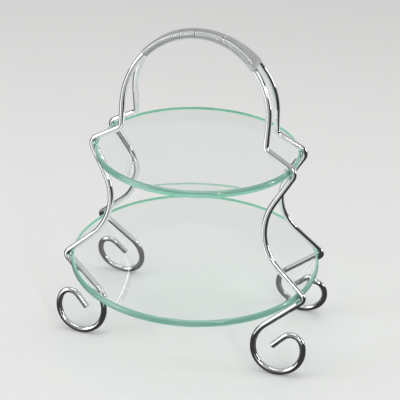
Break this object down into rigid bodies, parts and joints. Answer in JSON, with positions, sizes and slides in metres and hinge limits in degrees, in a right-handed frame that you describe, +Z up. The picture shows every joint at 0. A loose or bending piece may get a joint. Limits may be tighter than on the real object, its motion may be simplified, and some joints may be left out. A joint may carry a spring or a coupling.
{
  "type": "tiered cake stand",
  "caption": "Two round dished glass plates, a smaller one above a larger one, held by their rims in two bent wire frames that meet in a bound arch handle and stand on scrolled feet.",
  "frame": {"origin": "on the table, under the middle of the stand", "axes": "+Z up, +X along the handle's arch, +Y towards the rear wire frame"},
  "size_m": [0.1986, 0.19, 0.2412],
  "materials": {
    "chromed_wire": "bright plated",
    "binding_wire": "satin, tightly wound fine wire",
    "clear_glass": "clear, polished, green at the edge"
  },
  "bodies": {
    "frame": {"front_wire_frame": "chromed_wire", "rear_wire_frame": "chromed_wire", "handle_binding": "binding_wire"},
    "upper_plate": {"upper_glass_plate": "clear_glass"},
    "lower_plate": {"lower_glass_plate": "clear_glass"}
  },
  "joints": [
    {"name": "upper_plate_turn", "type": "hinge", "parent": "frame", "child": "upper_plate", "pos_m": [0, 0, 0.15019], "axis": [0, 0, 1], "continuous": true},
    {"name": "lower_plate_turn", "type": "hinge", "parent": "frame", "child": "lower_plate", "pos_m": [0, 0, 0.05953], "axis": [0, 0, 1], "continuous": true}
  ]
}
